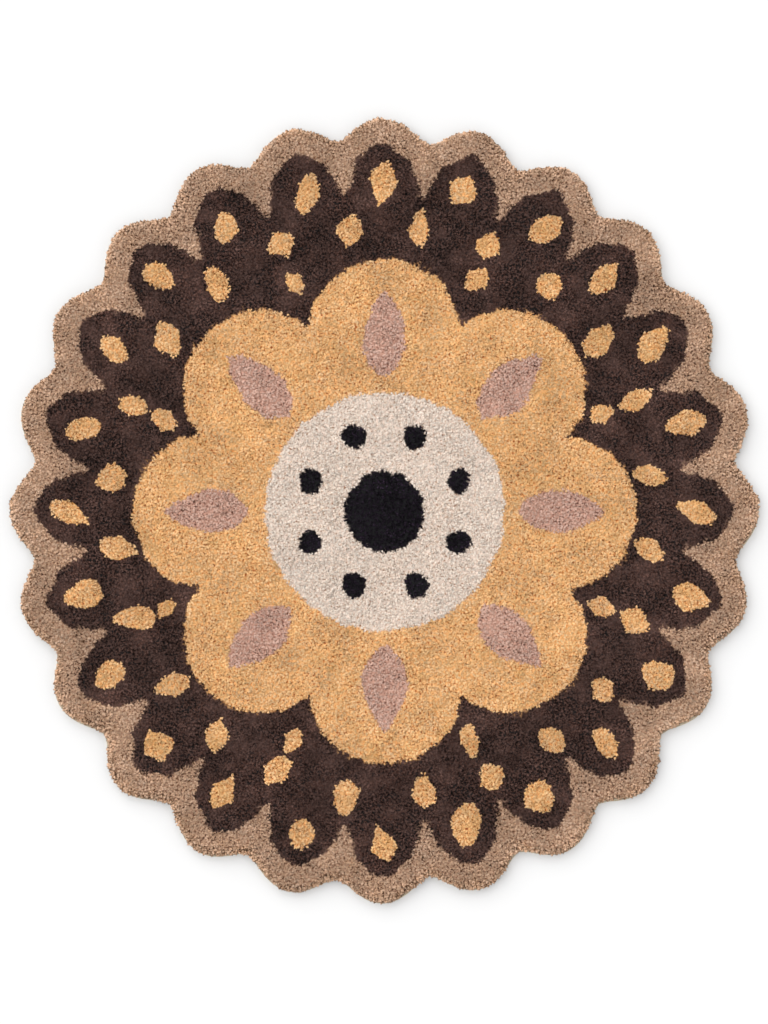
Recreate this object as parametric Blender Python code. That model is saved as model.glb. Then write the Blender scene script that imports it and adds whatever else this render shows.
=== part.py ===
"""Scalloped round rug for a child's room: a cut-pile cotton face on a cotton backing cloth.

Metres, +Z up. The rug lies flat on the ground at z = 0 with its centre at the origin, and +Y
points to the top of its pattern. Run it with: blender --background --python part.py
"""

import math

import bmesh
import bpy
from mathutils import Vector

# Driving dimensions
RUG_WIDTH = 1.05  # along X, over the lobes
RUG_LENGTH = 1.10  # along Y, over the lobes
BACKING_THICKNESS = 0.002
PILE_TOP = 0.018  # height of the tips of the pile above the ground
SEAT_GAP = 0.0003  # between the backing cloth and the pile that it carries

# Scalloped edge
LOBE_COUNT = 24
LOBE_DEPTH = 0.031  # from the line through the lobes' tips in to the notches
NOTCH_SOFTNESS = 0.22  # 0 is a sharp V between two lobes, 1 a long soft hollow
POINTS_PER_LOBE = 12

# Unevenness of an edge cut by hand: (height in metres, waves round the rug, phase in radians)
EDGE_WANDER = ((0.0016, 3, 0.6), (0.0014, 7, 2.1), (0.0009, 17, 4.0))

# Rim of the pile, whose outer tufts lean over the edge of the cloth
PILE_INSET = 0.0025  # from the edge of the cloth in to the widest line of the pile
PILE_SHIFT = 0.0018  # the pile sits this far up the pattern, so more cloth shows at its lower edge
RIM_RADIUS = 0.009
RIM_STEPS = 4
ROOT_RADIUS = 0.0035
ROOT_STEPS = 2

# How edges are picked and shaded
SAME_HEIGHT = 1e-6  # corners closer in height than this lie in one flat face
LEVEL_NORMAL = 0.5  # a face whose normal rises more than this is a flat one, not the upright side
ROUND_PROFILE = 0.5  # the bevel profile that makes an arc
SMOOTH_ANGLE = math.radians(40)

# Yarn and cloth: (colour, roughness)
PILE_FINISH = ((0.070, 0.037, 0.030), 0.95)
CLOTH_FINISH = ((0.600, 0.520, 0.380), 0.90)


def lobe_height(angle):
    """0 in the notches and 1 at the tips of the lobes, one of which is at angle 0."""
    wave = math.cos(LOBE_COUNT * angle / 2)
    rounded = math.sqrt(wave * wave + NOTCH_SOFTNESS**2) - NOTCH_SOFTNESS
    return rounded / (math.sqrt(1 + NOTCH_SOFTNESS**2) - NOTCH_SOFTNESS)


def scalloped_outline():
    """The edge of the rug, anticlockwise from the +X lobe, fitted to the rug's width and length."""
    half_width, half_length = RUG_WIDTH / 2, RUG_LENGTH / 2
    mean_radius = (half_width + half_length) / 2
    count = LOBE_COUNT * POINTS_PER_LOBE
    points = []
    for i in range(count):
        angle = 2 * math.pi * i / count
        wander = sum(height * math.sin(waves * angle + phase) for height, waves, phase in EDGE_WANDER)
        share = 1 + (wander - LOBE_DEPTH * (1 - lobe_height(angle))) / mean_radius
        points.append(Vector((half_width * share * math.cos(angle), half_length * share * math.sin(angle))))
    return fitted(points, RUG_WIDTH, RUG_LENGTH)


def fitted(points, width, length):
    """The points moved and scaled so that their box is width by length, centred on the origin."""
    low = Vector((min(p.x for p in points), min(p.y for p in points)))
    high = Vector((max(p.x for p in points), max(p.y for p in points)))
    middle, size = (low + high) / 2, high - low
    return [Vector(((p.x - middle.x) * width / size.x, (p.y - middle.y) * length / size.y)) for p in points]


def inset(points, distance):
    """A closed anticlockwise outline moved inwards by distance."""
    moved = []
    for i, point in enumerate(points):
        along = (points[(i + 1) % len(points)] - points[i - 1]).normalized()
        moved.append(point + distance * Vector((-along.y, along.x)))
    return moved


def rim_edges(mesh, height):
    """The edges of a slab's flat face at that height that meet its upright side."""
    return [
        edge
        for edge in mesh.edges
        if all(abs(v.co.z - height) < SAME_HEIGHT for v in edge.verts)
        and sorted(abs(face.normal.z) > LEVEL_NORMAL for face in edge.link_faces) == [False, True]
    ]


def slab(outline, bottom, top):
    """A bmesh of the outline extruded from the height bottom to the height top."""
    mesh = bmesh.new()
    base = mesh.faces.new([mesh.verts.new((p.x, p.y, bottom)) for p in outline])
    raised = bmesh.ops.extrude_face_region(mesh, geom=[base])["geom"]
    lifted = [item for item in raised if isinstance(item, bmesh.types.BMVert)]
    bmesh.ops.translate(mesh, verts=lifted, vec=(0, 0, top - bottom))
    bmesh.ops.recalc_face_normals(mesh, faces=mesh.faces)
    return mesh


def round_over(mesh, height, radius, steps):
    """Rounds the edge of a slab's flat face at that height."""
    bmesh.ops.bevel(
        mesh,
        geom=rim_edges(mesh, height),
        offset=radius,
        segments=steps,
        profile=ROUND_PROFILE,
        affect="EDGES",
        clamp_overlap=False,
    )


def finish_object(name, mesh, finish):
    """Turns the bmesh into a named object with its own material."""
    colour, roughness = finish
    data = bpy.data.meshes.new(name)
    mesh.to_mesh(data)
    mesh.free()
    data.shade_smooth()
    data.set_sharp_from_angle(angle=SMOOTH_ANGLE)
    material = bpy.data.materials.new(name)
    material.use_nodes = True
    shader = material.node_tree.nodes["Principled BSDF"]
    shader.inputs["Base Color"].default_value = (*colour, 1)
    shader.inputs["Roughness"].default_value = roughness
    shader.inputs["Metallic"].default_value = 0.0
    data.materials.append(material)
    thing = bpy.data.objects.new(name, data)
    bpy.context.scene.collection.objects.link(thing)
    return thing


def make_backing_cloth(outline):
    """The cotton cloth that the pile is tufted and glued to: a flat sheet that lies on the ground."""
    return finish_object("backing_cloth", slab(outline, 0, BACKING_THICKNESS), CLOTH_FINISH)


def make_tufted_pile(outline):
    """The body of the pile, with a soft round rim that its outer tufts make."""
    bottom = BACKING_THICKNESS + SEAT_GAP
    shifted = [p + Vector((0, PILE_SHIFT)) for p in inset(outline, PILE_INSET)]
    mesh = slab(shifted, bottom, PILE_TOP)
    round_over(mesh, PILE_TOP, RIM_RADIUS, RIM_STEPS)
    round_over(mesh, bottom, ROOT_RADIUS, ROOT_STEPS)
    return finish_object("tufted_pile", mesh, PILE_FINISH)


def main():
    for thing in list(bpy.data.objects):
        bpy.data.objects.remove(thing)
    outline = scalloped_outline()
    make_backing_cloth(outline)
    make_tufted_pile(outline)


main()
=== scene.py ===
# Scalloped cotton rug with a flower: dyed cut pile on a cotton backing cloth, laid flat on a studio floor
import math
import time

import bpy
import numpy as np
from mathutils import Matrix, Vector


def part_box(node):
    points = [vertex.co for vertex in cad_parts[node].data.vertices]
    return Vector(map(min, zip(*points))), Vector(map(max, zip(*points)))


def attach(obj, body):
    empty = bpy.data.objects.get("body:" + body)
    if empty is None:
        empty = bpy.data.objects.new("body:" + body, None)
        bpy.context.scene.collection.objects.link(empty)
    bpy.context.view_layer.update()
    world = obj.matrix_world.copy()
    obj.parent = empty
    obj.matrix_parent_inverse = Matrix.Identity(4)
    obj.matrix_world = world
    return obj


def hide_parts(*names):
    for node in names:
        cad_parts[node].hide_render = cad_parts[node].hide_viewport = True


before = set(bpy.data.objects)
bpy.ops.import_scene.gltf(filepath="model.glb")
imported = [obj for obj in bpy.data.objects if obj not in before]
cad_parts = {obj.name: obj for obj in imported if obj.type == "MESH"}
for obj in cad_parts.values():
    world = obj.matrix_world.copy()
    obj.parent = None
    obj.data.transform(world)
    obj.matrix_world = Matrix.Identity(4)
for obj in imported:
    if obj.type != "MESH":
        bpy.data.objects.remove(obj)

startTime = time.time()
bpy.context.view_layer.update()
dice = np.random.default_rng(11)  # the one source of every uneven tuft, so each run is the same
mm = 0.001


def say(words):
    print(f"[rug] {time.time() - startTime:5.1f} s  {words}")


def linear(hexColour):
    # sRGB hex to the linear colour that a shader takes
    shares = [int(hexColour[i:i + 2], 16) / 255 for i in (1, 3, 5)]
    return [s / 12.92 if s <= 0.04045 else ((s + 0.055) / 1.055) ** 2.4 for s in shares] + [1.0]


def addNode(tree, kind, settings={}, links={}):
    # settings are the node's own properties or its sockets, links are socket: what feeds it
    node = tree.nodes.new(kind)
    for name, value in settings.items():
        if name in node.inputs:
            node.inputs[name].default_value = value
        else:
            setattr(node, name, value)
    for name, source in links.items():
        tree.links.new(source, node.inputs[name])
    return node


def softNoise(x, y, size, seed):
    # smooth uneven field from -1 to 1 whose patches are about that size
    cells = 128
    field = np.random.default_rng(seed).uniform(-1, 1, (cells, cells))
    turn = 0.6 + seed  # in radians, so that no patch lines up with the rug
    u = (x * math.cos(turn) - y * math.sin(turn)) / size + cells / 2
    v = (x * math.sin(turn) + y * math.cos(turn)) / size + cells / 2
    i, j = np.floor(u).astype(int), np.floor(v).astype(int)
    fu, fv = u - i, v - j
    fu, fv = fu * fu * (3 - 2 * fu), fv * fv * (3 - 2 * fv)
    i, j, iNext, jNext = i % cells, j % cells, (i + 1) % cells, (j + 1) % cells
    low = field[i, j] * (1 - fu) + field[iNext, j] * fu
    high = field[i, jNext] * (1 - fu) + field[iNext, jNext] * fu
    return low * (1 - fv) + high * fv


# The edge of the pile, read from the CAD pile where its side stands upright
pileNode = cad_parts["tufted_pile"]
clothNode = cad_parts["backing_cloth"]
pileLow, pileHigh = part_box("tufted_pile")
clothLow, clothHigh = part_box("backing_cloth")
rimRadius = 9 * mm  # of the round rim of the CAD pile
rimHeight = pileHigh.z - rimRadius
sameHeight = 0.05 * mm  # corners closer in height than this lie at one level
samePlace = 0.1 * mm


def pileEdge():
    corners = np.array([v.co for v in pileNode.data.vertices])
    corners = corners[np.abs(corners[:, 2] - rimHeight) < sameHeight][:, :2]
    order = np.argsort(np.arctan2(corners[:, 1], corners[:, 0]))
    corners = corners[order]
    apart = np.linalg.norm(corners - np.roll(corners, 1, axis=0), axis=1)
    return corners[apart > samePlace]


edge = pileEdge()
lobeCount = 24
meanRadius = (pileHigh.x - pileLow.x + pileHigh.y - pileLow.y) / 4
centreX, centreY = (pileLow.x + pileHigh.x) / 2, (pileLow.y + pileHigh.y) / 2


def depthFromEdge(x, y):
    # distance in from the edge of the pile, and below zero outside it
    batch = 4000  # points at a time, to spare memory
    start, finish = edge, np.roll(edge, -1, axis=0)
    along = finish - start
    size = (along ** 2).sum(1)
    nearest = np.empty(len(x))
    for first in range(0, len(x), batch):
        part = slice(first, first + batch)
        toX, toY = x[part, None] - start[:, 0], y[part, None] - start[:, 1]
        share = np.clip((toX * along[:, 0] + toY * along[:, 1]) / size, 0, 1)
        nearest[part] = np.sqrt(((toX - share * along[:, 0]) ** 2 + (toY - share * along[:, 1]) ** 2).min(1))
    edgeAngle = np.arctan2(edge[:, 1], edge[:, 0])
    edgeReach = np.hypot(edge[:, 0], edge[:, 1])
    reach = np.interp(np.arctan2(y, x), edgeAngle, edgeReach, period=2 * math.pi)
    return np.where(np.hypot(x, y) < reach, nearest, -nearest)


say(f"pile edge read from the frame: {len(edge)} corners")

# The pattern, from the edge in. Each function says which points (x, y) a motif covers
border = {"width": 34 * mm, "wedgeDepth": 43 * mm, "wedgeHalf": 26 * mm}


def inBorder(x, y, depth):
    # a band along the edge, with a wedge that points in from each notch between two lobes
    turn = np.arctan2((y - centreY) / (pileHigh.y - pileLow.y), (x - centreX) / (pileHigh.x - pileLow.x))
    pitch = 2 * math.pi / lobeCount
    fromNotch = np.abs((turn / pitch) % 1 - 0.5) * pitch * meanRadius
    wedge = np.clip(1 - fromNotch / border["wedgeHalf"], 0, 1)
    return depth < border["width"] + border["wedgeDepth"] * wedge


flower = {"petals": 8, "notchRadius": 258 * mm, "petalLength": 94 * mm, "roundness": 0.5, "softness": 0.05}


def inFlower(x, y):
    wave = np.cos(flower["petals"] / 2 * np.arctan2(y, x))
    swell = (wave ** 2 + flower["softness"] ** 2) ** (flower["roundness"] / 2)
    return np.hypot(x, y) < flower["notchRadius"] + flower["petalLength"] * swell


leaves = {
    "innerRadius": 188 * mm,
    "length": 122 * mm,
    "halfWidth": 31 * mm,
    "inward": 0.8,  # 1 has its widest place in the middle, and less moves it towards the heart
    "bluntness": 0.9,
}


def inLeaves(x, y):
    # one teardrop in each petal, widest a little inside its middle
    inside = np.zeros(len(x), bool)
    for k in range(flower["petals"]):
        turn = k * 2 * math.pi / flower["petals"]
        along = (x * math.cos(turn) + y * math.sin(turn) - leaves["innerRadius"]) / leaves["length"]
        across = -x * math.sin(turn) + y * math.cos(turn)
        arch = np.sin(math.pi * np.clip(along, 0, 1) ** leaves["inward"])
        half = leaves["halfWidth"] * arch ** leaves["bluntness"]
        inside |= (along > 0) & (along < 1) & (np.abs(across) < half)
    return inside


heart = {"radius": 167 * mm}
dots = {"middleRadius": 56 * mm, "count": 8, "ringRadius": 112 * mm, "radius": 17 * mm}


def inHeart(x, y):
    return np.hypot(x, y) < heart["radius"]


def inDots(x, y):
    inside = np.hypot(x, y) < dots["middleRadius"]
    for k in range(dots["count"]):
        turn = (k + 0.5) * 2 * math.pi / dots["count"]
        spotX, spotY = dots["ringRadius"] * math.cos(turn), dots["ringRadius"] * math.sin(turn)
        inside |= np.hypot(x - spotX, y - spotY) < dots["radius"]
    return inside


# Dabs of ochre in the dark ring: (count, first angle in lobes, distance from the middle, size)
dabs = {
    "rows": ((24, 0.0, 448 * mm, 1.0), (24, 0.5, 387 * mm, 0.9), (8, 1.5, 334 * mm, 0.72)),
    "halfLength": 28 * mm,
    "halfWidth": 19 * mm,
    "sizeSpread": 0.2,
    "shift": 6 * mm,
    "turn": math.radians(28),
    "corner": (1.15, 1.9),  # 1 is a diamond and 2 an oval
    "skew": 0.35,
    "proud": 0.5 * mm,  # their tufts stand this much over the brown ones, and hide their roots
}


def layDabs():
    laid = []
    for count, first, radius, size in dabs["rows"]:
        for k in range(count):
            turn = 2 * math.pi * (k / count + first / lobeCount)
            shiftX, shiftY = dice.uniform(-1, 1, 2) * dabs["shift"]
            scaleX, scaleY = 1 + dice.uniform(-1, 1, 2) * dabs["sizeSpread"]
            laid.append({
                "x": radius * math.cos(turn) * (clothHigh.x / meanRadius) + shiftX,
                "y": radius * math.sin(turn) * (clothHigh.y / meanRadius) + shiftY,
                "turn": turn + dice.uniform(-1, 1) * dabs["turn"],
                "halfLength": dabs["halfLength"] * size * scaleX,
                "halfWidth": dabs["halfWidth"] * size * scaleY,
                "corner": dice.uniform(*dabs["corner"]),
                "skew": dice.uniform(-dabs["skew"], dabs["skew"]),
            })
    return laid


dabsLaid = layDabs()


def depthInDabs(x, y):
    # roughly how far in from the edge of a dab, and below zero outside them all
    depth = np.full(len(x), -dabs["halfLength"])
    for dab in dabsLaid:
        toX, toY = x - dab["x"], y - dab["y"]
        along = (toX * math.cos(dab["turn"]) + toY * math.sin(dab["turn"])) / dab["halfLength"]
        across = (toY * math.cos(dab["turn"]) - toX * math.sin(dab["turn"])) / dab["halfWidth"]
        across = across * (1 + dab["skew"] * along)
        away = (np.abs(along) ** dab["corner"] + np.abs(across) ** dab["corner"]) ** (1 / dab["corner"])
        depth = np.maximum(depth, (1 - away) * dab["halfWidth"])
    return depth


# A tufting gun never keeps quite to the line: each border between two colours wanders by this much
wander = {"coarse": 2.4 * mm, "coarseSize": 17 * mm, "fine": 1.3 * mm, "fineSize": 6 * mm}
yarns = ("taupe", "brown", "dab", "ochre", "mauve", "cream", "black")


def wandered(x, y):
    # the points as the tufter kept to them, and how far each moved across
    wanderX = wander["coarse"] * softNoise(x, y, wander["coarseSize"], 1)
    wanderX = wanderX + wander["fine"] * softNoise(x, y, wander["fineSize"], 2)
    wanderY = wander["coarse"] * softNoise(x, y, wander["coarseSize"], 3)
    wanderY = wanderY + wander["fine"] * softNoise(x, y, wander["fineSize"], 4)
    return x + wanderX, y + wanderY, wanderX


def yarnAt(x, y, depth, withDabs=True):
    # which of the yarns each point is tufted in: a later line lies over an earlier one
    x, y, shift = wandered(x, y)
    yarn = np.full(len(x), yarns.index("brown"))
    if withDabs:
        yarn[depthInDabs(x, y) > 0] = yarns.index("dab")
    yarn[inFlower(x, y)] = yarns.index("ochre")
    yarn[inLeaves(x, y)] = yarns.index("mauve")
    yarn[inHeart(x, y)] = yarns.index("cream")
    yarn[inDots(x, y)] = yarns.index("black")
    yarn[inBorder(x, y, depth + shift)] = yarns.index("taupe")
    return yarn


# Tufts. Each is a lock of twisted yarn that stands in the backing and bends over near its tip
tuft = {
    "pitch": 3.38 * mm,
    "jitter": 2.4 * mm,
    "rootHeight": 9.5 * mm,
    "rootRadius": 2.9 * mm,
    "bendRadius": 2.4 * mm,
    "girthSpread": 0.25,
    "lean": 2.6 * mm,  # how far the tip lies from its root
    "leanSpread": 0.7,
    "below": 0.7 * mm,  # from the top of the CAD pile down to the mean tip
    "heightSpread": 0.3 * mm,
    "wave": 0.5 * mm,  # of the whole surface, where the pile was pressed or brushed up
    "waveSize": 35 * mm,
    "swirlSize": 55 * mm,  # patches where the tufts lean alike
    "swirl": 1.1,
    "stray": 2.4,  # radians that a tuft strays from its patch
}

# The locks are the plies of thicker strands, and each leans in to the middle of its own strand
strand = {
    "pitch": 7.5 * mm,
    "shift": 0.4,  # of a pitch, either way
    "pull": 0.14,
    "pullSpread": 0.6,
    "patchSize": 38 * mm,  # where the strands hold together alike
    "dome": 0.06,  # how steeply the top of a strand falls away from its middle
    "toneShare": 0.45,  # of a strand's own tone in each of its locks
    "lockTone": 0.35,
}


def strandOf(x, y):
    # the middle of the strand that each lock belongs to, and its tone from -1 to 1
    cells = 256
    table = np.random.default_rng(21)
    offset = table.uniform(-strand["shift"], strand["shift"], (cells, cells, 2))
    strandTone = table.uniform(-1, 1, (cells, cells))
    i, j = np.floor(x / strand["pitch"]).astype(int), np.floor(y / strand["pitch"]).astype(int)
    middle, tone, nearest = np.zeros((len(x), 2)), np.zeros(len(x)), np.full(len(x), np.inf)
    for stepX in (-1, 0, 1):
        for stepY in (-1, 0, 1):
            cellX, cellY = (i + stepX) % cells, (j + stepY) % cells
            thereX = (i + stepX + 0.5 + offset[cellX, cellY, 0]) * strand["pitch"]
            thereY = (j + stepY + 0.5 + offset[cellX, cellY, 1]) * strand["pitch"]
            away = np.hypot(thereX - x, thereY - y)
            nearer = away < nearest
            nearest[nearer] = away[nearer]
            middle[nearer] = np.stack([thereX, thereY], 1)[nearer]
            tone[nearer] = strandTone[cellX, cellY][nearer]
    return middle, nearest, tone


def plantField():
    # a jittered hexagonal grid of tufts over the level part of the pile
    rowPitch = tuft["pitch"] * math.sqrt(3) / 2
    rows = np.arange(pileLow.y, pileHigh.y, rowPitch)
    columns = np.arange(pileLow.x, pileHigh.x, tuft["pitch"])
    x = (columns[None, :] + (np.arange(len(rows)) % 2 * tuft["pitch"] / 2)[:, None]).ravel()
    y = np.repeat(rows, len(columns))
    x = x + dice.uniform(-1, 1, len(x)) * tuft["jitter"]
    y = y + dice.uniform(-1, 1, len(y)) * tuft["jitter"]
    depth = depthFromEdge(x, y)
    keep = depth > rimField["innerDepth"]
    x, y, depth = x[keep], y[keep], depth[keep]
    count = len(x)
    turn = tuft["swirl"] * math.pi * softNoise(x, y, tuft["swirlSize"], 5)
    turn = turn + dice.uniform(-1, 1, count) * tuft["stray"]
    lean = tuft["lean"] * (1 + dice.uniform(-1, 1, count) * tuft["leanSpread"])
    # near the rim the pile rounds over, so its tufts stand lower and lean out
    short = np.clip(rimRadius - depth, 0, rimRadius)
    drop = rimRadius - np.sqrt(rimRadius ** 2 - short ** 2)
    height = pileHigh.z - tuft["below"] - drop + tuft["heightSpread"] * dice.normal(0, 1, count)
    height = height + tuft["wave"] * softNoise(x, y, tuft["waveSize"], 6)
    middle, away, strandTone = strandOf(x, y)
    height = height - strand["dome"] * away
    pull = strand["pull"] * (1 + strand["pullSpread"] * softNoise(x, y, strand["patchSize"], 8))
    leanX = lean * np.cos(turn) + pull * (middle[:, 0] - x)
    leanY = lean * np.sin(turn) + pull * (middle[:, 1] - y)
    yarn = yarnAt(x, y, depth)
    height = height + np.where(yarn == yarns.index("dab"), dabs["proud"], 0)
    root = np.stack([x, y, np.full(count, tuft["rootHeight"])], 1)
    tip = root + np.stack([leanX, leanY, height - tuft["rootHeight"]], 1)
    # painted light: the level tufts near the rim are coloured lighter, the more the nearer they stand to it
    nearRim = np.clip(1 - (depth - rimField["innerDepth"]) / rimField["paintedRimLightReach"], 0, 1)
    paintedRimLight = 1 + rimField["paintedRimLightInside"] * nearRim
    bend = 1 - rimField["stiffer"] * short / rimRadius
    return root, tip, yarn, bend, strandTone, paintedRimLight


# Rows of tufts along the rim, which fan out from a line inside it: (degrees above level, reach)
rimField = {
    "innerDepth": 6.2 * mm,
    "spacing": 3.6 * mm,
    "rows": ((58, 9.2 * mm), (34, 10.0 * mm), (11, 10.6 * mm), (-13, 9.8 * mm)),
    "wave": 1.3 * mm,
    "fan": math.radians(11),  # that a tuft strays up or down from its row
    "slip": 2.2 * mm,  # and along it
    "rootShare": 0.3,  # roots lie this far out, so that locks of one row don't cross inside the rim
    "bend": 0.35,
    "stiffer": 0.5,  # loss of bend in the level tufts where the pile rounds over
    "toneSpread": 0.45,
    "spill": 0.65,  # share of the cloth's margin that the outer tufts lean out over
    "spillSpread": 0.6,
    "spillSize": 26 * mm,
    "paintedRimLight": 0.5,  # painted light: the outer tufts' colour is made up to this much lighter, for the light from the pale floor that goes through these thin tufts
    # painted light on the level tufts next to the rim, and how far in it reaches
    "paintedRimLightInside": 0.2,
    "paintedRimLightReach": 10 * mm,
    "bump": 1.0 * mm,  # of the silhouette, tuft by tuft
    "bumpSize": 7 * mm,
}


def evenSteps(points, spacing, offset):
    # points at even steps along a closed line, each with the line's direction there
    closed = np.vstack([points, points[:1]])
    runs = np.linalg.norm(np.diff(closed, axis=0), axis=1)
    walked = np.concatenate([[0], np.cumsum(runs)])
    count = int(round(walked[-1] / spacing))
    at = (np.arange(count) + offset) / count * walked[-1]
    x, y = np.interp(at, walked, closed[:, 0]), np.interp(at, walked, closed[:, 1])
    ahead, behind = (at + spacing) % walked[-1], (at - spacing) % walked[-1]
    alongX = np.interp(ahead, walked, closed[:, 0]) - np.interp(behind, walked, closed[:, 0])
    alongY = np.interp(ahead, walked, closed[:, 1]) - np.interp(behind, walked, closed[:, 1])
    size = np.hypot(alongX, alongY)
    return np.stack([x, y], 1), np.stack([alongX / size, alongY / size], 1)


def plantRim():
    roots, tips, paintedRimLights = [], [], []
    # how far the cloth shows past the pile at the foot of the pattern and at its head
    marginLow, marginHigh = pileLow.y - clothLow.y, clothHigh.y - pileHigh.y
    for row, (degrees, reach) in enumerate(rimField["rows"]):
        at, along = evenSteps(edge, rimField["spacing"], 0.5 * (row % 2))
        count = len(at)
        outward = np.stack([along[:, 1], -along[:, 0]], 1)
        rise = math.radians(degrees) + dice.uniform(-1, 1, count) * rimField["fan"]
        far = reach + dice.uniform(-1, 1, count) * rimField["wave"]
        margin = (marginLow + marginHigh) / 2 - (marginLow - marginHigh) / 2 * outward[:, 1]
        spill = rimField["spillSpread"] * softNoise(at[:, 0], at[:, 1], rimField["spillSize"], 9)
        far = far + margin * (rimField["spill"] + spill) * np.cos(rise)
        far = far + rimField["bump"] * softNoise(at[:, 0], at[:, 1], rimField["bumpSize"], 10)
        slip = dice.uniform(-1, 1, count)[:, None] * along * rimField["slip"]
        core = at - outward * rimRadius
        root = np.column_stack([core, np.full(count, rimHeight)])
        tipFlat = core + outward * (far * np.cos(rise))[:, None] + slip
        tips.append(np.column_stack([tipFlat, rimHeight + far * np.sin(rise)]))
        roots.append(root + rimField["rootShare"] * (tips[-1] - root))
        # painted light: the more level a row of the rim lies, the lighter its colour is painted
        paintedRimLights.append(1 + rimField["paintedRimLight"] * np.cos(rise) ** 2)
    root, tip = np.vstack(roots), np.vstack(tips)
    return root, tip, np.full(len(root), rimField["bend"]), np.concatenate(paintedRimLights)


# One lock: three corners at its root, three at its elbow where it bends over, and a tip point
lock = {
    "elbow": 0.76,  # of the way from the root to the tip
    "rimElbow": 0.88,
    "overhang": 0.38,  # how much less far out than high the elbow of a bent lock lies
}
tipPoint = 6
lockPoints = tipPoint + 1
lockFaces = (
    [(2, 1, 0)]
    + [(k, (k + 1) % 3, 3 + (k + 1) % 3, 3 + k) for k in range(3)]
    + [(3 + k, 3 + (k + 1) % 3, tipPoint) for k in range(3)]
)
bodyRise = 0.7  # where the colour of the tuft's body lies, between its root's painted shade at 0 and its tip's painted light at 1
lockRise = np.array([0.0] * 3 + [bodyRise] * 3 + [1.0])

# A lock's own square in the bake map, whose middle is at (0, 0) and whose sides are 1 long
bakeCell = {"elbowReach": 0.24, "rootReach": 0.45, "rootFace": ((0.4, -0.49), (-0.4, -0.49), (0.0, -0.28))}


def bakeCellPoints():
    # where each corner of each face lies in that square: the tip in the middle, the elbow and the root in
    # rings round it, and the root's own face in the strip below
    ways = [math.radians(90 + 120 * k) for k in range(3)]
    reaches = [bakeCell["rootReach"]] * 3 + [bakeCell["elbowReach"]] * 3 + [0.0]
    points = list(bakeCell["rootFace"])
    for face in lockFaces[1:]:
        for corner in face:
            way = ways[corner % 3]
            points.append((reaches[corner] * math.cos(way), reaches[corner] * math.sin(way)))
    return np.array(points)


def unit(vectors):
    return vectors / np.linalg.norm(vectors, axis=1)[:, None]


def growLocks(name, root, tip, bend, tone, paintedRimLight, elbowAt=lock["elbow"]):
    # a mesh of one lock from each root to its tip, straight where bend is 0 and arched over where it is 1
    count = len(root)
    rise = tip - root
    elbow = root + rise * (elbowAt - bend[:, None] * [lock["overhang"], lock["overhang"], 0])
    girth = 1 + dice.uniform(-tuft["girthSpread"], tuft["girthSpread"], count)
    twist = dice.uniform(0, 2 * math.pi, count)
    side = unit(np.cross(dice.normal(0, 1, (count, 3)), rise))
    corners = np.empty((count, lockPoints, 3))
    corners[:, tipPoint] = tip
    rings = ((root, elbow - root, tuft["rootRadius"], 0), (elbow, rise, tuft["bendRadius"], 3))
    for middle, along, radius, first in rings:
        along = unit(along)
        across = unit(side - (side * along).sum(1)[:, None] * along)
        over = np.cross(along, across)
        for k in range(3):
            turn = twist + k * 2 * math.pi / 3
            ray = across * np.cos(turn)[:, None] + over * np.sin(turn)[:, None]
            corners[:, first + k] = middle + ray * (radius * girth)[:, None]
    return lockMesh(name, corners, tone, paintedRimLight)


def lockMesh(name, corners, tone, paintedRimLight):
    count = len(corners)
    loopCorners = np.array([corner for face in lockFaces for corner in face])
    sizes = np.array([len(face) for face in lockFaces])
    starts = np.concatenate([[0], np.cumsum(sizes)[:-1]])
    each = np.arange(count)[:, None]
    mesh = bpy.data.meshes.new(name)
    mesh.vertices.add(count * lockPoints)
    mesh.vertices.foreach_set("co", corners.ravel())
    mesh.loops.add(count * len(loopCorners))
    mesh.loops.foreach_set("vertex_index", (each * lockPoints + loopCorners).ravel())
    mesh.polygons.add(count * len(lockFaces))
    mesh.polygons.foreach_set("loop_start", (each * len(loopCorners) + starts).ravel())
    mesh.update(calc_edges=True)
    mesh.shade_smooth()
    perPoint = {
        "tone": np.repeat(tone, lockPoints),
        "paintedRimLight": np.repeat(paintedRimLight, lockPoints),
        # from 0 at the root to 1 at the tip: where the colour goes from painted shade to painted light
        "rise": np.tile(lockRise, count),
    }
    for key, values in perPoint.items():
        mesh.attributes.new(key, "FLOAT", "POINT").data.foreach_set("value", values)
    # every lock has its own square in the bake map
    across = math.ceil(math.sqrt(count))
    cell = np.stack([np.arange(count) % across, np.arange(count) // across], 1) + 0.5
    spread = (cell[:, None, :] + bakeCellPoints()[None, :, :]) / across
    mesh.uv_layers.new(name="OFBake").data.foreach_set("uv", spread.ravel())
    return mesh


# Dyed cotton yarn, cut pile: matt and full of fibre ends, painted lighter where the cut tips catch the light
# and painted deeper in colour between the tufts, where shade falls. IOR 1.53 is cellulose, and cotton is
# never metallic
yarnFinish = {
    "roughness": 0.95,
    "ior": 1.53,
    "specular": 0.08,  # a small part of a smooth surface's: the fibre ends throw little of it straight back
    "sheen": 0.03,
    "sheenRoughness": 0.6,
    "rootEnd": 0.25,  # up to here a tuft has its root's colour, painted darker for shade
    "patchSize": 45 * mm,  # patches of lighter and darker colour, about this size
    "fadeSize": 24 * mm,  # where the dye took paler or deeper
    "fadeDepth": 0.06,
    "toneGamma": 0.05,  # a paler tuft is less deep in colour too
    "plySize": 3.2 * mm,  # of the largest gaps between plies: a real ply is 1 mm, drawn coarser to show
    "plyRoughness": 0.8,
    "gapDepth": 0.38,  # of the noise's height: a gap's painted shade is at its darkest here
    "openSize": 30 * mm,  # from a place where the pile lies shut to one where it stands open
    "shut": 0.3,  # share of the gaps' painted shade where it lies shut
    "open": 1.4,
    "lumpSize": 4.4 * mm,  # of the tufts' own rounded tops, lit from one side
    "lumpDepth": 5.6 * mm,
    "through": 0.88,  # light goes in between the fibres and comes out evenly: a tuft has no hard shaded side
}
noiseReach = {"From Min": 0.3, "From Max": 0.7}  # nearly all of a noise texture lies between these
openReach = {"From Min": 0.35, "From Max": 0.62}
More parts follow.
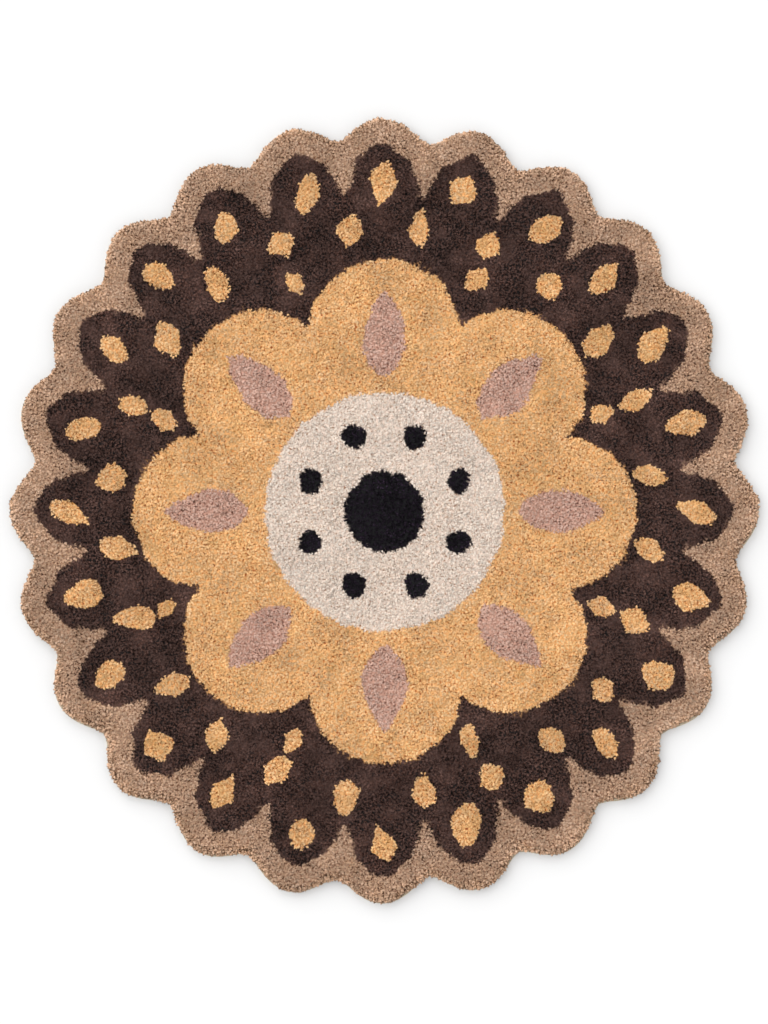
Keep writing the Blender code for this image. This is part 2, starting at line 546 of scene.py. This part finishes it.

# Each dye's colour at the cut tips, in the tuft's body and at its root, with painted light at the tips and
# painted shade at the root; how dark the painted shade in the gaps between the plies is, how much deeper in
# colour it is painted and how wide, and how much the tone differs from tuft to tuft and from patch to patch.
# The dark dyes took less evenly
dyes = {
    "taupe": {"tip": "#d7b49b", "body": "#d4af91", "root": "#be987d",
        "shade": 0.88, "shadeDeepen": 2.5, "gapEdge": 0.475, "tone": 0.09, "patch": 0.26},
    "brown": {"tip": "#68514b", "body": "#64483f", "root": "#583f38",
        "shade": 0.98, "shadeDeepen": 1.6, "gapEdge": 0.55, "tone": 0.14, "patch": 0.50},
    "ochre": {"tip": "#ffd19a", "body": "#ffcd93", "root": "#fbbe7e",
        "shade": 0.70, "shadeDeepen": 3.0, "gapEdge": 0.45, "tone": 0.05, "patch": 0.22},
    "mauve": {"tip": "#ebc4b3", "body": "#e5baa7", "root": "#d3a28e",
        "shade": 0.84, "shadeDeepen": 2.0, "gapEdge": 0.46, "tone": 0.06, "patch": 0.14},
    "cream": {"tip": "#fef0e2", "body": "#feecdc", "root": "#f4dece",
        "shade": 0.52, "shadeDeepen": 3.2, "gapEdge": 0.44, "tone": 0.03, "patch": 0.07},
    "black": {"tip": "#2f2731", "body": "#1c121f", "root": "#0c0810",
        "shade": 0.98, "shadeDeepen": 1.2, "gapEdge": 0.56, "tone": 0.65, "patch": 0.48},
}


def unevenness(tree, place, size, spread):
    # 1 on the whole, and higher or lower by the spread from one patch of that size to the next
    noise = addNode(
        tree, "ShaderNodeTexNoise", {"Scale": 1 / size, "Detail": 3.0, "Roughness": 0.6},
        {"Vector": place.outputs["Object"]},
    )
    scaled = addNode(
        tree, "ShaderNodeMapRange", {**noiseReach, "To Min": 1 - spread, "To Max": 1 + spread},
        {"Value": noise.outputs["Fac"]},
    )
    return scaled.outputs["Result"]


def gapsBetweenPlies(tree, place):
    # how deep in a gap a point lies, 0 on the yarn and 1 or more where its painted shade is darkest, and the
    # node that takes the gaps' width in From Min
    plies = addNode(
        tree, "ShaderNodeTexNoise",
        {"Scale": 1 / yarnFinish["plySize"], "Detail": 3.5, "Roughness": yarnFinish["plyRoughness"]},
        {"Vector": place.outputs["Object"]},
    )
    edges = addNode(
        tree, "ShaderNodeMapRange", {"From Max": yarnFinish["gapDepth"]}, {"Value": plies.outputs["Fac"]},
    )
    openness = addNode(
        tree, "ShaderNodeTexNoise", {"Scale": 1 / yarnFinish["openSize"], "Detail": 1.5},
        {"Vector": place.outputs["Object"]},
    )
    openShare = addNode(
        tree, "ShaderNodeMapRange",
        {**openReach, "To Min": yarnFinish["shut"], "To Max": yarnFinish["open"]},
        {"Value": openness.outputs["Fac"]},
    )
    depth = addNode(
        tree, "ShaderNodeMath", {"operation": "MULTIPLY"},
        {0: edges.outputs["Result"], 1: openShare.outputs["Result"]},
    )
    return depth.outputs["Value"], edges


def tuftRelief(tree, place):
    # the tufts' rounded tops, on a normal that leans to straight up by yarnFinish["through"]
    side = addNode(tree, "ShaderNodeNewGeometry")
    shaded = addNode(
        tree, "ShaderNodeVectorMath", {"operation": "SCALE", "Scale": 1 - yarnFinish["through"]},
        {0: side.outputs["Normal"]},
    )
    evenly = addNode(tree, "ShaderNodeVectorMath", {"operation": "ADD"}, {0: shaded.outputs["Vector"]})
    evenly.inputs[1].default_value = (0, 0, yarnFinish["through"])
    facing = addNode(tree, "ShaderNodeVectorMath", {"operation": "NORMALIZE"}, {0: evenly.outputs["Vector"]})
    lumps = addNode(
        tree, "ShaderNodeTexNoise", {"Scale": 1 / yarnFinish["lumpSize"], "Detail": 1.5, "Roughness": 0.6},
        {"Vector": place.outputs["Object"]},
    )
    relief = addNode(
        tree, "ShaderNodeBump", {"Strength": 1.0, "Distance": yarnFinish["lumpDepth"]},
        {"Height": lumps.outputs["Fac"], "Normal": facing.outputs["Vector"]},
    )
    return relief.outputs["Normal"]


def dyedCottonPile(name, dye):
    material = bpy.data.materials.new(name)
    material.use_nodes = True
    tree = material.node_tree
    shader = tree.nodes["Principled BSDF"]
    shader.inputs["Roughness"].default_value = yarnFinish["roughness"]
    shader.inputs["IOR"].default_value = yarnFinish["ior"]
    shader.inputs["Metallic"].default_value = 0.0
    shader.inputs["Specular IOR Level"].default_value = yarnFinish["specular"]
    shader.inputs["Sheen Weight"].default_value = yarnFinish["sheen"]
    shader.inputs["Sheen Roughness"].default_value = yarnFinish["sheenRoughness"]
    place = addNode(tree, "ShaderNodeTexCoord")
    rise, tone, paintedRimLight = [
        addNode(tree, "ShaderNodeAttribute", {"attribute_name": key}) for key in ("rise", "tone", "paintedRimLight")
    ]
    # along each tuft: painted shade at its root, its body's colour, and painted light at its cut tip
    ramp = addNode(tree, "ShaderNodeValToRGB", links={"Fac": rise.outputs["Fac"]})
    ramp.color_ramp.elements[0].position = yarnFinish["rootEnd"]
    ramp.color_ramp.elements[0].color = linear(dye["root"])
    ramp.color_ramp.elements[1].position = 1.0
    ramp.color_ramp.elements[1].color = linear(dye["tip"])
    ramp.color_ramp.elements.new(bodyRise).color = linear(dye["body"])
    toneValue, toneGamma = [
        addNode(
            tree, "ShaderNodeMapRange",
            {"From Min": -1.0, "From Max": 1.0, "To Min": 1 - spread, "To Max": 1 + spread},
            {"Value": tone.outputs["Fac"]},
        )
        for spread in (dye["tone"], -yarnFinish["toneGamma"])
    ]
    gaps, edges = gapsBetweenPlies(tree, place)
    edges.inputs["From Min"].default_value = dye["gapEdge"]
    # painted shade in the gaps: darker, and deeper in colour for the light bounced between the fibres
    gapShade, gapShadeGamma = [
        addNode(tree, "ShaderNodeMapRange", {"To Min": 1.0, "To Max": deepest}, {"Value": gaps})
        for deepest in (1 - dye["shade"], dye["shadeDeepen"])
    ]
    value = unevenness(tree, place, yarnFinish["patchSize"], dye["patch"])
    # the colour's value takes the tuft's tone, the painted shade of the gaps and the painted rim light
    for factor in (toneValue.outputs["Result"], gapShade.outputs["Result"], paintedRimLight.outputs["Fac"]):
        step = addNode(tree, "ShaderNodeMath", {"operation": "MULTIPLY"}, {0: value, 1: factor})
        value = step.outputs["Value"]
    gamma = addNode(
        tree, "ShaderNodeMath", {"operation": "MULTIPLY"},
        {0: toneGamma.outputs["Result"], 1: gapShadeGamma.outputs["Result"]},
    )
    deep = addNode(
        tree, "ShaderNodeGamma", links={"Color": ramp.outputs["Color"], "Gamma": gamma.outputs["Value"]},
    )
    fading = unevenness(tree, place, yarnFinish["fadeSize"], yarnFinish["fadeDepth"])
    colour = addNode(
        tree, "ShaderNodeHueSaturation",
        links={"Color": deep.outputs["Color"], "Value": value, "Saturation": fading},
    )
    tree.links.new(colour.outputs["Color"], shader.inputs["Base Color"])
    tree.links.new(tuftRelief(tree, place), shader.inputs["Normal"])
    return material


pileMaterials = {name: dyedCottonPile(f"cottonPile_{name}", dye) for name, dye in dyes.items()}


def showPiece(name, mesh, material):
    piece = bpy.data.objects.new(name, mesh)
    bpy.context.scene.collection.objects.link(piece)
    mesh.materials.append(material)
    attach(piece, "root")
    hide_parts("tufted_pile")
    return piece


# The pieces of the pile: (name, yarn, dye, which of its tufts)
def everywhere(x, y):
    return np.ones(len(x), bool)


def upperHalf(x, y):
    return y >= 0


def lowerHalf(x, y):
    return y < 0


pilePieces = (
    ("borderPile", "taupe", "taupe", everywhere),
    ("ringPileUpper", "brown", "brown", upperHalf),
    ("ringPileLower", "brown", "brown", lowerHalf),
    ("dabPile", "dab", "ochre", everywhere),
    ("flowerPileUpper", "ochre", "ochre", upperHalf),
    ("flowerPileLower", "ochre", "ochre", lowerHalf),
    ("leafPile", "mauve", "mauve", everywhere),
    ("heartPile", "cream", "cream", everywhere),
    ("dotPile", "black", "black", everywhere),
)

root, tip, yarn, bend, strandTone, paintedRimLight = plantField()
tone = np.clip(strand["toneShare"] * strandTone + dice.normal(0, strand["lockTone"], len(root)), -1, 1)
for name, yarnName, dye, chosen in pilePieces:
    mine = (yarn == yarns.index(yarnName)) & chosen(root[:, 0], root[:, 1])
    mesh = growLocks(name, root[mine], tip[mine], bend[mine], tone[mine], paintedRimLight[mine])
    showPiece(name, mesh, pileMaterials[dye])
    say(f"{name}: {mine.sum()} tufts, {100 * mine.mean():.1f}% of the pile")

rimRoot, rimTip, rimBend, rimPaintedLight = plantRim()
rimTone = np.clip(dice.normal(0, rimField["toneSpread"], len(rimRoot)), -1, 1)
rimMesh = growLocks("rimPile", rimRoot, rimTip, rimBend, rimTone, rimPaintedLight, lock["rimElbow"])
showPiece("rimPile", rimMesh, pileMaterials["taupe"])
say(f"rimPile: {len(rimRoot)} tufts in {len(rimField['rows'])} rows")

# The imported roots between the tufts, a slab under them in the pattern's root colours, which are painted
# darker for the shade under the tufts
roots = {
    "inset": 5.5 * mm,
    "bottom": 0.2 * mm,  # over the foot of the CAD pile
    "top": 15.3 * mm,
    "rings": 96,
    "roughness": 1.0,
    "grain": (0.7, 1.1),  # from the darkest tuft to the lightest
    "dabEdge": 1.5 * mm,  # over which the brown turns to the ochre of a dab
}
gapTraits = ("shade", "shadeDeepen", "gapEdge")


def rootSlab():
    ahead, behind = np.roll(edge, -1, axis=0), np.roll(edge, 1, axis=0)
    along = unit(ahead - behind)
    outline = edge - np.stack([along[:, 1], -along[:, 0]], 1) * roots["inset"]
    count = len(outline)
    bottom = pileLow.z + roots["bottom"]
    shares = np.linspace(1, 1 / roots["rings"], roots["rings"])
    corners = [np.column_stack([outline * share, np.full(count, roots["top"])]) for share in shares]
    corners.append([[0, 0, roots["top"]]])
    corners.append(np.column_stack([outline, np.full(count, bottom)]))
    corners.append([[0, 0, bottom]])
    corners = np.vstack(corners)
    middleTop = count * roots["rings"]
    lower, middleLow = middleTop + 1, middleTop + 1 + count
    faces = []
    for k in range(count):
        n = (k + 1) % count
        for ring in range(roots["rings"] - 1):
            out, into = ring * count, (ring + 1) * count
            faces.append((out + k, out + n, into + n, into + k))
        last = (roots["rings"] - 1) * count
        faces.append((last + k, last + n, middleTop))
        faces.append((lower + k, lower + n, n, k))
        faces.append((lower + n, lower + k, middleLow))
    mesh = bpy.data.meshes.new("pileRoots")
    mesh.from_pydata(corners.tolist(), [], faces)
    x, y = corners[:, 0], corners[:, 1]
    # the dye of each point, all but the dabs, which the material draws from each point's depth in a dab
    yarn = yarnAt(x, y, depthFromEdge(x, y), withDabs=False)
    dyeOf = [dyes["ochre" if name == "dab" else name] for name in yarns]
    # each point takes its dye's root colour, which is painted darker for the shade under the tufts
    colours = np.array([linear(dye["root"]) for dye in dyeOf])[yarn]
    mesh.attributes.new("shadedRootColour", "FLOAT_COLOR", "POINT").data.foreach_set("color", colours.ravel())
    perPoint = {key: np.array([dye[key] for dye in dyeOf])[yarn] for key in gapTraits}
    perPoint["inDab"] = depthInDabs(*wandered(x, y)[:2])
    for key, values in perPoint.items():
        mesh.attributes.new(key, "FLOAT", "POINT").data.foreach_set("value", values)
    return mesh


def packedCottonRoots():
    # the same cotton where the tufts are packed and show between the tips of others: it has their root
    # colour, which is painted shade, their painted gap shade and relief, and a grain of darker and lighter
    # tufts
    material = bpy.data.materials.new("cottonPile_roots")
    material.use_nodes = True
    tree = material.node_tree
    shader = tree.nodes["Principled BSDF"]
    shader.inputs["Roughness"].default_value = roots["roughness"]
    shader.inputs["IOR"].default_value = yarnFinish["ior"]
    place = addNode(tree, "ShaderNodeTexCoord")
    around = addNode(tree, "ShaderNodeAttribute", {"attribute_name": "shadedRootColour"})
    noise = addNode(
        tree, "ShaderNodeTexNoise", {"Scale": 1 / tuft["pitch"], "Detail": 2.0},
        {"Vector": place.outputs["Object"]},
    )
    darkest, lightest = roots["grain"]
    grain = addNode(
        tree, "ShaderNodeMapRange", {**noiseReach, "To Min": darkest, "To Max": lightest},
        {"Value": noise.outputs["Fac"]},
    )
    # the depth in a dab keeps the dab's edge sharper than a colour at each corner of the slab could
    inDab = addNode(tree, "ShaderNodeAttribute", {"attribute_name": "inDab"})
    isDab = addNode(
        tree, "ShaderNodeMapRange", {"From Min": 0.0, "From Max": roots["dabEdge"]},
        {"Value": inDab.outputs["Fac"]},
    )
    # a Mix node's sockets are told apart by number: 0 is the share, 6 and 7 take colours, 2 and 3 values
    shadedYarnColour = addNode(
        tree, "ShaderNodeMix", {"data_type": "RGBA"},
        {0: isDab.outputs["Result"], 6: around.outputs["Color"]},
    )
    shadedYarnColour.inputs[7].default_value = linear(dyes["ochre"]["root"])
    # the painted gap shade of the dye that lies there, which is the ochre's inside a dab
    traits = {}
    for key in gapTraits:
        outside = addNode(tree, "ShaderNodeAttribute", {"attribute_name": key})
        mix = addNode(
            tree, "ShaderNodeMix", {"data_type": "FLOAT"},
            {0: isDab.outputs["Result"], 2: outside.outputs["Fac"]},
        )
        mix.inputs[3].default_value = dyes["ochre"][key]
        traits[key] = mix.outputs[0]
    gaps, edges = gapsBetweenPlies(tree, place)
    tree.links.new(traits["gapEdge"], edges.inputs["From Min"])
    lit = addNode(tree, "ShaderNodeMath", {"operation": "SUBTRACT"}, {1: traits["shade"]})
    lit.inputs[0].default_value = 1.0
    gapShade, gapShadeGamma = [
        addNode(tree, "ShaderNodeMapRange", {"To Min": 1.0}, {"Value": gaps, "To Max": deepest})
        for deepest in (lit.outputs["Value"], traits["shadeDeepen"])
    ]
    deep = addNode(
        tree, "ShaderNodeGamma", links={"Color": shadedYarnColour.outputs[2], "Gamma": gapShadeGamma.outputs["Result"]},
    )
    value = addNode(
        tree, "ShaderNodeMath", {"operation": "MULTIPLY"},
        {0: grain.outputs["Result"], 1: gapShade.outputs["Result"]},
    )
    colour = addNode(
        tree, "ShaderNodeHueSaturation",
        links={"Color": deep.outputs["Color"], "Value": value.outputs["Value"]},
    )
    tree.links.new(colour.outputs["Color"], shader.inputs["Base Color"])
    tree.links.new(tuftRelief(tree, place), shader.inputs["Normal"])
    return material


showPiece("pileRoots", rootSlab(), packedCottonRoots())
say("pileRoots laid")

# Cotton canvas, plain woven and undyed: matt, pale and crossed by its warp and weft, with painted shade down
# between the threads
canvas = {
    "light": "#e9dbc3",
    "dark": "#d0bb98",
    "threadPitch": 3.0 * mm,  # a real thread is about 1 mm: drawn three times coarser, so that it shows
    "threadDepth": 0.25 * mm,
    "darkBelow": 0.1,  # the height in the weave where its dark colour, painted shade down between the threads, ends, and where its light one begins
    "lightAbove": 0.55,
    "waver": 0.6,  # of the threads, none of which runs quite straight
    "slubSize": 14 * mm,  # thick and thin places in a thread
    "roughness": 0.9,
    "ior": 1.53,
    "sheen": 0.1,
}


def cottonCanvas():
    material = bpy.data.materials.new("cottonCanvas")
    material.use_nodes = True
    tree = material.node_tree
    shader = tree.nodes["Principled BSDF"]
    shader.inputs["Roughness"].default_value = canvas["roughness"]
    shader.inputs["IOR"].default_value = canvas["ior"]
    shader.inputs["Sheen Weight"].default_value = canvas["sheen"]
    place = addNode(tree, "ShaderNodeTexCoord")
    # a wave texture repeats every pi / 10 of its own units at scale 1
    waveScale = math.pi / 10 / canvas["threadPitch"]
    warp, weft = [
        addNode(
            tree, "ShaderNodeTexWave",
            {"bands_direction": way, "Scale": waveScale, "Distortion": canvas["waver"],
             "Detail": 2.0, "Detail Scale": 0.4},
            {"Vector": place.outputs["Object"]},
        )
        for way in ("X", "Y")
    ]
    weave = addNode(
        tree, "ShaderNodeMath", {"operation": "MAXIMUM"},
        {0: warp.outputs["Fac"], 1: weft.outputs["Fac"]},
    )
    slubs = addNode(
        tree, "ShaderNodeTexNoise", {"Scale": 1 / canvas["slubSize"], "Detail": 4.0},
        {"Vector": place.outputs["Object"]},
    )
    blend = addNode(
        tree, "ShaderNodeMath", {"operation": "MULTIPLY"},
        {0: weave.outputs["Value"], 1: slubs.outputs["Fac"]},
    )
    # low in the weave the colour goes dark, painted shade between the threads, and the slubs make it lighter
    # or darker too
    ramp = addNode(tree, "ShaderNodeValToRGB", links={"Fac": blend.outputs["Value"]})
    ramp.color_ramp.elements[0].position = canvas["darkBelow"]
    ramp.color_ramp.elements[0].color = linear(canvas["dark"])
    ramp.color_ramp.elements[1].position = canvas["lightAbove"]
    ramp.color_ramp.elements[1].color = linear(canvas["light"])
    relief = addNode(
        tree, "ShaderNodeBump", {"Strength": 0.8, "Distance": canvas["threadDepth"]},
        {"Height": weave.outputs["Value"]},
    )
    tree.links.new(ramp.outputs["Color"], shader.inputs["Base Color"])
    tree.links.new(relief.outputs["Normal"], shader.inputs["Normal"])
    return material


clothNode.data.materials.clear()
clothNode.data.materials.append(cottonCanvas())


def clothArea():
    # of the outline that the backing cloth was cut to, by the shoelace rule
    corners = np.array([v.co for v in clothNode.data.vertices])
    corners = corners[corners[:, 2] > clothHigh.z - sameHeight][:, :2]
    corners = np.unique(corners.round(6), axis=0)
    corners = corners[np.argsort(np.arctan2(corners[:, 1], corners[:, 0]))]
    ahead = np.roll(corners, -1, axis=0)
    return float((corners[:, 0] * ahead[:, 1] - ahead[:, 0] * corners[:, 1]).sum() / 2)


cutArea = clothArea()
cutWidth, cutLength = clothHigh.x - clothLow.x, clothHigh.y - clothLow.y
say(f"backing cloth: cut {cutWidth:.3f} by {cutLength:.3f} m, {cutArea:.3f} square metres")

# A plain white studio floor: matt paper, which scatters the light evenly
floor = {"size": 60.0, "colour": "#f5f5f5", "roughness": 0.9, "drop": 0.5 * mm}


def studioFloor():
    half = floor["size"] / 2
    mesh = bpy.data.meshes.new("studioFloor")
    square = [(-half, -half), (half, -half), (half, half), (-half, half)]
    mesh.from_pydata([(x, y, -floor["drop"]) for x, y in square], [], [(0, 1, 2, 3)])
    material = bpy.data.materials.new("mattPaperFloor")
    material.use_nodes = True
    shader = material.node_tree.nodes["Principled BSDF"]
    shader.inputs["Base Color"].default_value = linear(floor["colour"])
    shader.inputs["Roughness"].default_value = floor["roughness"]
    mesh.materials.append(material)
    sheet = bpy.data.objects.new("studioFloor", mesh)
    bpy.context.scene.collection.objects.link(sheet)


studioFloor()

# Plain soft studio light: one big soft source above and to the upper left, and light from all round
light = {
    "sun": 1.78,
    "softness": math.radians(80),
    "tilt": math.radians(38),
    "side": math.radians(42),
    "round": 0.68,
}


def studioLight():
    lamp = bpy.data.lights.new("softBox", "SUN")
    lamp.energy = light["sun"]
    lamp.angle = light["softness"]
    box = bpy.data.objects.new("softBox", lamp)
    box.rotation_euler = (-light["tilt"], 0, light["side"])
    bpy.context.scene.collection.objects.link(box)
    world = bpy.data.worlds.new("studioWalls")
    world.use_nodes = True
    world.node_tree.nodes["Background"].inputs["Color"].default_value = (1, 1, 1, 1)
    world.node_tree.nodes["Background"].inputs["Strength"].default_value = light["round"]
    bpy.context.scene.world = world


studioLight()

# The camera looks straight down, with the top of the pattern up, and keeps the photograph's framing
camera = {
    "lens": 85.0,
    "film": 36.0,
    "frameHeight": 1.4294,  # metres across the picture's height, at the top of the pile
    "x": -0.0007,
    "y": -0.0007,
}


def overheadCamera():
    data = bpy.data.cameras.new("overhead")
    data.lens = camera["lens"]
    data.sensor_width = camera["film"]
    eye = bpy.data.objects.new("overhead", data)
    away = camera["frameHeight"] * camera["lens"] / camera["film"]
    eye.location = (camera["x"], camera["y"], pileHigh.z + away)
    bpy.context.scene.collection.objects.link(eye)
    bpy.context.scene.camera = eye


overheadCamera()
bpy.context.scene.view_settings.view_transform = "Standard"
say("floor, light and camera set")

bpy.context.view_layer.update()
say("sizes written")
